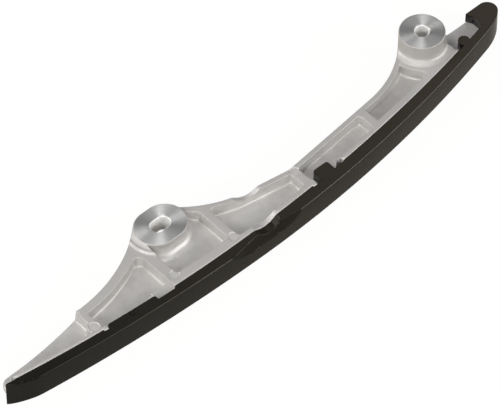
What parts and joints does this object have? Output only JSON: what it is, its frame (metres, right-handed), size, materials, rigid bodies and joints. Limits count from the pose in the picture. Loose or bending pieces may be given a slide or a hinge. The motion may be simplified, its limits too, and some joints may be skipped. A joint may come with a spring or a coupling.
{
  "type": "timing chain guide",
  "caption": "Curved timing chain guide: a ribbed die-cast carrier with a round bolt boss and a slotted boss, and a black sliding shoe clipped along its front edge.",
  "frame": {"origin": "on the axis of the round bolt hole, in the plane of the two seats under the bosses", "axes": "+X along the bolt line from the slot towards the head, +Z along the bolt hole away from the seats, -Y towards the chain"},
  "size_m": [0.3151, 0.0468, 0.023],
  "materials": {
    "cast_aluminium": "as cast, with machined boss faces",
    "shoe_nylon": "semi-matte moulded"
  },
  "bodies": {
    "root": {"carrier": "cast_aluminium", "guide_shoe": "shoe_nylon"}
  },
  "joints": []
}
